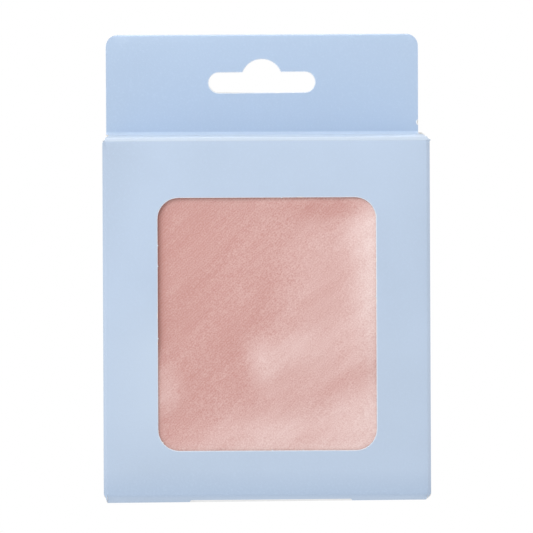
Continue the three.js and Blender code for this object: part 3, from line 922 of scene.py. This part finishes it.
def hem_loop(name, material, rows, half_thick, half_high, wave, rib=0):
    """A flattened tube round the cap's opening. rib makes every other row thicker."""
    count = 18
    squareness = 0.45
    points = []
    for row in range(rows):
        distance = HEM_PERIMETER * row / rows
        thick = half_thick + rib * (row % 2)
        for k in range(count):
            c, s = cos(2 * pi * k / count), sin(2 * pi * k / count)
            out = thick * copysign(abs(c) ** squareness, c)
            high = half_high * copysign(abs(s) ** squareness, s)
            slack = 1 - 0.5 * smooth(0, half_high, high)
            points.append(hem_point(distance, out, HEM_MIDDLE + high, wave * slack))
    return mesh_object(name, points, tube_faces(rows, count, "joined"), [material])


STITCH_PITCH = 2.4
STITCH_LENGTH = 1.7
STITCH_RADIUS = 0.17
STITCH_DROP = 1.1  # below the top of the casing
STITCH_WAVE = 0.12
BEAD = (0.3, 0.9, 1, 0.9, 0.3)  # shares of the radius along one stitch
BEAD_SIDES = 6


def hem_stitches(name, material):
    """A row of thread round the top of the casing, one bead for each stitch."""
    points, faces = [], []
    bead_faces = tube_faces(len(BEAD), BEAD_SIDES, "capped")
    for stitch in range(int(HEM_PERIMETER / STITCH_PITCH)):
        first = len(points)
        for row, size in enumerate(BEAD):
            distance = stitch * STITCH_PITCH + STITCH_LENGTH * row / (len(BEAD) - 1)
            for k in range(BEAD_SIDES):
                angle = 2 * pi * k / BEAD_SIDES
                out = HEM_WALL / 2 + STITCH_RADIUS * size * cos(angle)
                z = HEM_BOTTOM + HEM_HEIGHT - STITCH_DROP + STITCH_RADIUS * size * sin(angle)
                points.append(hem_point(distance, out, z, STITCH_WAVE))
        faces += [tuple(first + corner for corner in face) for face in bead_faces]
    return mesh_object(name, points, faces, [material])


# Materials
class Look:
    """A node material on the Principled shader, built in short steps."""

    def __init__(self, name, **constants):
        self.material = bpy.data.materials.new(name)
        self.material.use_nodes = True
        self.tree = self.material.node_tree
        self.shader = self.tree.nodes["Principled BSDF"]
        self.place = self.tree.nodes.new("ShaderNodeTexCoord").outputs["Object"]
        for socket, value in constants.items():
            self.feed(self.shader.inputs[socket.replace("_", " ")], value)

    def feed(self, socket, value):
        if isinstance(value, bpy.types.NodeSocket):
            self.tree.links.new(value, socket)
        else:
            socket.default_value = value

    def node(self, kind, inputs, **settings):
        made = self.tree.nodes.new(kind)
        for name, value in settings.items():
            setattr(made, name, value)
        for key, value in inputs.items():
            self.feed(made.inputs[key], value)
        return made

    def noise(self, scale, detail=2, place=None):
        inputs = {"Vector": place or self.place, "Scale": scale, "Detail": detail}
        return self.node("ShaderNodeTexNoise", inputs).outputs["Fac"]

    def mix(self, share, first, second):
        inputs = {0: share, 6: first, 7: second}
        return self.node("ShaderNodeMix", inputs, data_type="RGBA").outputs[2]

    def math(self, operation, first, second=0):
        return self.node("ShaderNodeMath", {0: first, 1: second}, operation=operation).outputs[0]

    def spread(self, value, low, high, to_low=0, to_high=1):
        inputs = {"Value": value, "From Min": low, "From Max": high, "To Min": to_low, "To Max": to_high}
        return self.node("ShaderNodeMapRange", inputs).outputs[0]

    def dot(self, direction):
        inputs = {0: self.place, 1: direction}
        return self.node("ShaderNodeVectorMath", inputs, operation="DOT_PRODUCT").outputs["Value"]

    def band(self, value, rise, fall, most=1, least=0):
        """Rises to most over the first pair of places and falls to least over the second."""
        rising = self.spread(value, *rise, 0, most)
        return self.math("MINIMUM", rising, self.spread(value, *fall, most, least))

    def finish(self, colour, grain, rough, relief, strength, depth):
        """Gives the material its colour, a range of roughness and a bump of this depth in millimetres."""
        rough = self.spread(grain, 0.3, 0.7, *rough)
        inputs = {"Height": relief, "Strength": strength, "Distance": depth * METRES}
        bump = self.node("ShaderNodeBump", inputs).outputs[0]
        for socket, value in (("Base Color", colour), ("Roughness", rough), ("Normal", bump)):
            self.feed(self.shader.inputs[socket], value)
        return self.material


def shade(colour, factor=1):
    return (colour[0] * factor, colour[1] * factor, colour[2] * factor, 1)


BLUE = (0.481, 0.587, 0.742)
HEADER_PAINTED_SHADE_BLUE = (0.388, 0.516, 0.7)  # painted shade on the header, deepest just above its foot
TOP_FOLD_WEAR_AND_HIGHLIGHT_BLUE = (0.515, 0.582, 0.66)  # greyer on the top fold and the lid: partly rubbed wear, partly painted highlight
WINDOW_SIDE_PAINTED_LIGHT_BLUE = (0.542, 0.648, 0.795)  # painted light: paler on the front, beside the window
BASE_PAINTED_SHADE_BLUE = (0.425, 0.536, 0.702)  # painted shade: darker above the base fold
LIP_BLUE = (0.7, 0.76, 0.85)  # and pale where a cut has crushed it
INSIDE = (0.84, 0.84, 0.82)
FIBRE = (0.86, 0.85, 0.83)
PINK = (0.605, 0.315, 0.286)
# PALE_PINK is the satin's painted highlight and its twill's pale ribs; DEEP_PINK its painted shade and darker
# streaks and threads.
PALE_PINK = (0.905, 0.72, 0.69)
DEEP_PINK = (0.545, 0.246, 0.214)
SHEEN = (1, 0.86, 0.84, 1)
THREAD = (0.72, 0.45, 0.42)
FILM = (0.82, 0.8, 0.78)
WHITE_ELASTIC = (0.84, 0.82, 0.79)

# Where painted light, painted shade and the top fold's wear come in and go out in the printed board's colour,
# up the pack
WINDOW_SIDE_PAINTED_LIGHT = (8, 26), (44, 64)
BASE_PAINTED_SHADE = (0.8, 1.8), (2.2, 9)
HEADER_PAINTED_SHADE = (108.4, 109.2), (109.5, 113)
TOP_FOLD_WEAR_AND_HIGHLIGHT = (FRONT_TOP - 0.2, FRONT_TOP + 0.2), (108, 108.4)


def specks(look, scale, size, kept, most):
    """Sparse round flecks, up to most inside one. kept is the share of cells that have one."""
    cells = look.node("ShaderNodeTexVoronoi", {"Vector": look.place, "Scale": scale})
    near = look.spread(cells.outputs["Distance"], size * 0.7, size, most, 0)
    cell = look.node("ShaderNodeSeparateColor", {0: cells.outputs["Color"]})
    return look.math("MULTIPLY", near, look.math("GREATER_THAN", cell.outputs[0], 1 - kept))


def printed_board():
    look = Look("printed_board_ink", Specular_IOR_Level=0.42, Coat_Weight=0.3, Coat_Roughness=0.28)
    cloud = look.noise(38, 3)
    fibre = look.noise(1700, 4)
    grain = look.noise(5200)
    across = look.dot((1 / METRES, 0, 0))
    height = look.dot((0, 0, 1 / METRES))
    # Painted light beside the window on the front's lower half, strongest at the left.
    from_left = look.spread(across, -50, -33, 0.15, 0.9)
    beside = look.math("MULTIPLY", from_left, look.spread(across, -30, 50, 1, 0.2))
    on_front = look.spread(look.dot((0, 1 / METRES, 0)), -10, -4, 1, 0)
    window_side_painted_light = look.math("MULTIPLY", look.band(height, *WINDOW_SIDE_PAINTED_LIGHT), look.math("MULTIPLY", beside, on_front))
    # Painted shade: darker towards the top outer corners of the front and the sides, below the top fold.
    outward = look.math("ADD", look.math("ABSOLUTE", across), look.math("MULTIPLY", height, 0.35))
    below_fold = look.spread(height, 104.5, 106, 0.8, 0)
    corner = look.math("MINIMUM", look.spread(outward, 67, 84, 0, 0.8), below_fold)
    # Painted light: paler towards the upper right of the front and the header.
    upper_right_painted_light = look.spread(look.dot((0.7 / METRES, 0, 1 / METRES)), 95, 130, 0, 0.5)
    ink = look.mix(look.spread(cloud, 0.35, 0.65), shade(BLUE, 0.975), shade(BLUE, 1.02))
    # Mixed into the print in turn: painted light and painted shade, the top fold's wear and painted
    # highlight, then the print's own fibre, grain and specks.
    for share, colour in (
        (window_side_painted_light, shade(WINDOW_SIDE_PAINTED_LIGHT_BLUE)),
        (corner, shade(BLUE, 0.88)),
        (upper_right_painted_light, shade(BLUE, 1.12)),
        (look.band(height, *BASE_PAINTED_SHADE), shade(BASE_PAINTED_SHADE_BLUE)),
        (look.band(height, *HEADER_PAINTED_SHADE, 0.7, 0.55), shade(HEADER_PAINTED_SHADE_BLUE)),
        (look.band(height, *TOP_FOLD_WEAR_AND_HIGHLIGHT, 0.6), shade(TOP_FOLD_WEAR_AND_HIGHLIGHT_BLUE)),
        (look.spread(fibre, 0.5, 0.75, 0, 0.35), shade(BLUE, 1.09)),
        (look.spread(grain, 0.55, 0.8, 0, 0.25), shade(BLUE, 0.9)),
        (specks(look, 120, 0.02, 0.1, 0.55), shade(BLUE, 0.45)),
        (specks(look, 90, 0.018, 0.12, 0.6), (0.9, 0.93, 0.96, 1)),
    ):
        ink = look.mix(share, ink, colour)
    relief = look.math("ADD", fibre, look.math("MULTIPLY", look.noise(260), 1.4))
    return look.finish(ink, cloud, (0.42, 0.52), relief, 0.28, 0.06)


def bare_board():
    look = Look("bare_board_fibre", Specular_IOR_Level=0.2)
    fibre = look.noise(1500, 5)
    tone = look.mix(look.spread(fibre, 0.35, 0.65), shade(INSIDE, 0.96), shade(INSIDE, 1.04))
    tone = look.mix(specks(look, 260, 0.06, 0.2, 0.5), tone, shade(INSIDE, 0.6))
    return look.finish(tone, fibre, (0.8, 0.95), fibre, 0.4, 0.1)


def raw_edge():
    look = Look("cut_edge_fibre", Specular_IOR_Level=0.15)
    layers = look.noise(4200, 3)
    tone = look.mix(look.spread(layers, 0.35, 0.65), shade(FIBRE, 0.9), shade(FIBRE, 1.05))
    return look.finish(tone, layers, (0.85, 0.98), layers, 0.5, 0.08)


def white_patch():
    look = Look("blank_patch_ink", Specular_IOR_Level=0.35)
    fibre = look.noise(1500, 4)
    tone = look.mix(fibre, (0.84, 0.85, 0.86, 1), (0.9, 0.9, 0.9, 1))
    return look.finish(tone, fibre, (0.5, 0.62), fibre, 0.25, 0.06)


def crushed_lip():
    look = Look("crushed_lip_ink", Specular_IOR_Level=0.25)
    fibre = look.noise(1700, 4)
    torn = look.noise(420, 3)
    ink = look.mix(look.spread(fibre, 0.35, 0.65), shade(LIP_BLUE, 0.96), shade(LIP_BLUE, 1.04))
    ink = look.mix(look.spread(torn, 0.58, 0.72), ink, shade(FIBRE))
    return look.finish(ink, fibre, (0.6, 0.8), fibre, 0.4, 0.06)


TWILL_PERIOD = 0.00075  # metres between the diagonal ribs


def satin(name, colour):
    """Satin with a fine twill rising to the right. Its colour carries painted highlight and painted shade
    from the light attribute, paler where a swell turns to the light.
    """
    look = Look(name, Specular_IOR_Level=0.5, Sheen_Weight=0.35, Sheen_Roughness=0.35, Sheen_Tint=SHEEN)
    # painted highlight and painted shade, set on the satin's points
    light = look.node("ShaderNodeAttribute", {}, attribute_name="light").outputs["Fac"]
    rib = 2 * pi / TWILL_PERIOD * sqrt(0.5)
    wander = look.math("MULTIPLY", look.noise(900, 3), 8)
    twill = look.math("SINE", look.math("ADD", look.dot((-rib, rib * 0.35, rib)), wander))
    along, across = look.dot((60, 20, 48)), look.dot((-215, 105, 270))
    stretched = look.node("ShaderNodeCombineXYZ", {0: along, 1: across}).outputs[0]
    streak = look.noise(1, 3, stretched)
    thread = look.noise(3000)
    painted_light_and_wisps = look.math("ADD", light, look.spread(streak, 0.3, 0.7, -0.09, 0.09))
    painted_light_and_wisps = look.math("ADD", painted_light_and_wisps, look.spread(thread, 0.3, 0.7, -0.29, 0.29))
    # DEEP_PINK is painted shade and PALE_PINK painted highlight here, mixed with random streaks and threads
    tone = look.mix(look.spread(painted_light_and_wisps, -0.5, 0.05), shade(DEEP_PINK), shade(colour))
    tone = look.mix(look.spread(painted_light_and_wisps, 0, 1.25), tone, shade(PALE_PINK))
    tone = look.mix(look.spread(twill, -1, 1, 0, 0.09), tone, shade(PALE_PINK))
    relief = look.math("ADD", look.math("MULTIPLY", twill, 0.3), look.math("MULTIPLY", streak, 0.8))
    relief = look.math("ADD", relief, thread)
    return look.finish(tone, look.spread(painted_light_and_wisps, -0.3, 0.9, 0.3, 0.7), (0.5, 0.36), relief, 0.3, 0.08)


def liner_film():
    look = Look("liner_film_milky", Specular_IOR_Level=0.5, Transmission_Weight=0.15)
    crinkle = look.noise(140, 3)
    tone = look.mix(crinkle, shade(FILM, 0.94), shade(FILM, 1.06))
    return look.finish(tone, crinkle, (0.3, 0.5), crinkle, 0.35, 0.3)


def elastic():
    look = Look("elastic_covered", Sheen_Weight=0.2)
    ribs = look.math("SINE", look.dot((5200, 0, 0)))
    tone = look.mix(look.spread(ribs, -1, 1), shade(WHITE_ELASTIC, 0.88), shade(WHITE_ELASTIC, 1.05))
    return look.finish(tone, look.noise(900, 3), (0.65, 0.85), ribs, 0.4, 0.1)


# Pieces
board_materials = [printed_board(), bare_board(), raw_edge(), white_patch(), crushed_lip()]
satin_material = satin("satin_twill", PINK)
thread_material = satin("sewing_thread", THREAD)

carton = folded_board("carton_board", carton_blank, place_carton)
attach(carton, "carton")
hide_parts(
    "front_panel", "back_panel", "right_side_panel", "left_side_panel", "glue_flap",
    "top_lid", "header_front_ply", "header_rear_ply", "top_right_dust_flap", "top_left_dust_flap",
)

base_lid = folded_board("base_lid_board", lid_blank, place_under)
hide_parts("bottom_lid")
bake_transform(base_lid)

tuck_start, tuck_end = under.at(LID_LENGTH), under.at(TUCK_START)
base_tuck = folded_board("base_tuck_board", tuck_blank, place_under)
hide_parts("bottom_tuck_flap")
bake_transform(base_tuck)

for side, word, blank in ((1, "right", right_flap_blank), (-1, "left", left_flap_blank)):
    flap = folded_board(f"base_{word}_flap_board", blank, place_flap)
    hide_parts(f"bottom_{word}_dust_flap")
    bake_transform(flap)

satin_bag = bag("satin_bag", 0, SATIN_STEP, SATIN_THICKNESS, satin_material)
liner_bag = bag("liner_bag", LINER_INSET, LINER_STEP, FILM_THICKNESS, liner_film())
hem_tube = hem_loop("hem_tube", satin_material, 300, HEM_WALL / 2, HEM_HEIGHT / 2, wave=0.24)
elastic_loop = hem_loop("elastic_loop", elastic(), 260, half_thick=0.27, half_high=3, wave=0.1, rib=0.06)
stitching = hem_stitches("hem_stitching", thread_material)
for piece, node, slot in (
    (satin_bag, "cap_satin_shell", "satin"),
    (liner_bag, "cap_liner", "liner_film"),
    (hem_tube, "cap_hem_casing", "satin"),
    (elastic_loop, "cap_elastic_band", "elastic"),
):
    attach(piece, "carton")
    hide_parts(node)
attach(stitching, "carton")


# Floor, light and camera
FLOOR_HALF = 8000
FLOOR_DROP = 20  # the opened flaps swing to 17 mm below the base
FLOOR_LIGHT = 0.9
SKY_LIGHT = 0.42
AIM = Vector((0, 0, 0.075))  # metres, as for the lights and the camera
SOFTBOXES = [  # name, place, size, power in watts
    ("key_light", (-0.25, -0.5, 0.44), 0.55, 2.4),
    ("top_light", (-0.03, 0.01, 0.5), 0.25, 0.95),
    ("right_light", (0.6, -0.1, 0.05), 0.5, 0.65),
    ("left_light", (-0.6, -0.1, 0.05), 0.5, 0.42),
    ("rear_light", (0.4, 0.55, 0.5), 0.4, 2.4),
]
LENS = 234  # millimetres
SENSOR = 36
CAMERA_PLACE = (0, -1.0275, 0.0687)
CAMERA_ROLL = 0.25  # degrees


def mixed(tree, share, first, second):
    """The second shader where the share is 1, the first where it is 0."""
    mixer = tree.nodes.new("ShaderNodeMixShader")
    for socket, output in zip(mixer.inputs, (share, first.outputs[0], second.outputs[0])):
        tree.links.new(output, socket)
    return mixer


def white_to_camera(tree, kind, strength):
    """A plain light of this strength that the camera sees as white."""
    light, white = tree.nodes.new(kind), tree.nodes.new(kind)
    for node, value in ((light, strength), (white, 1)):
        node.inputs["Strength"].default_value = value
        node.inputs["Color"].default_value = (1, 1, 1, 1)
    return mixed(tree, tree.nodes.new("ShaderNodeLightPath").outputs["Is Camera Ray"], light, white)


floor_look = bpy.data.materials.new("floor_white")
floor_look.use_nodes = True
tree = floor_look.node_tree
tree.nodes.clear()
from_below = tree.nodes.new("ShaderNodeNewGeometry").outputs["Backfacing"]
upper = white_to_camera(tree, "ShaderNodeEmission", FLOOR_LIGHT)
surface = mixed(tree, from_below, upper, tree.nodes.new("ShaderNodeBsdfTransparent"))
tree.links.new(surface.outputs[0], tree.nodes.new("ShaderNodeOutputMaterial").inputs["Surface"])
floor_signs = ((-1, -1), (1, -1), (1, 1), (-1, 1))
floor_corners = [(x * FLOOR_HALF, y * FLOOR_HALF, -FLOOR_DROP) for x, y in floor_signs]
floor = mesh_object("floor", floor_corners, [(0, 1, 2, 3)], [floor_look])
floor.visible_shadow = False

world = bpy.data.worlds.new("studio")
scene.world = world
world.use_nodes = True
tree = world.node_tree
sky = white_to_camera(tree, "ShaderNodeBackground", SKY_LIGHT)
tree.links.new(sky.outputs[0], tree.nodes["World Output"].inputs["Surface"])

for name, place, size, power in SOFTBOXES:
    softbox = in_scene(name, bpy.data.lights.new(name, "AREA"))
    softbox.data.size = size
    softbox.data.energy = power
    softbox.location = place
    softbox.rotation_euler = (AIM - Vector(place)).to_track_quat("-Z", "Y").to_euler()

camera = in_scene("camera", bpy.data.cameras.new("camera"))
camera.data.lens = LENS
camera.data.sensor_width = SENSOR
camera.location = CAMERA_PLACE
camera.rotation_euler = (pi / 2, radians(CAMERA_ROLL), 0)
scene.camera = camera
scene.view_settings.view_transform = "Standard"
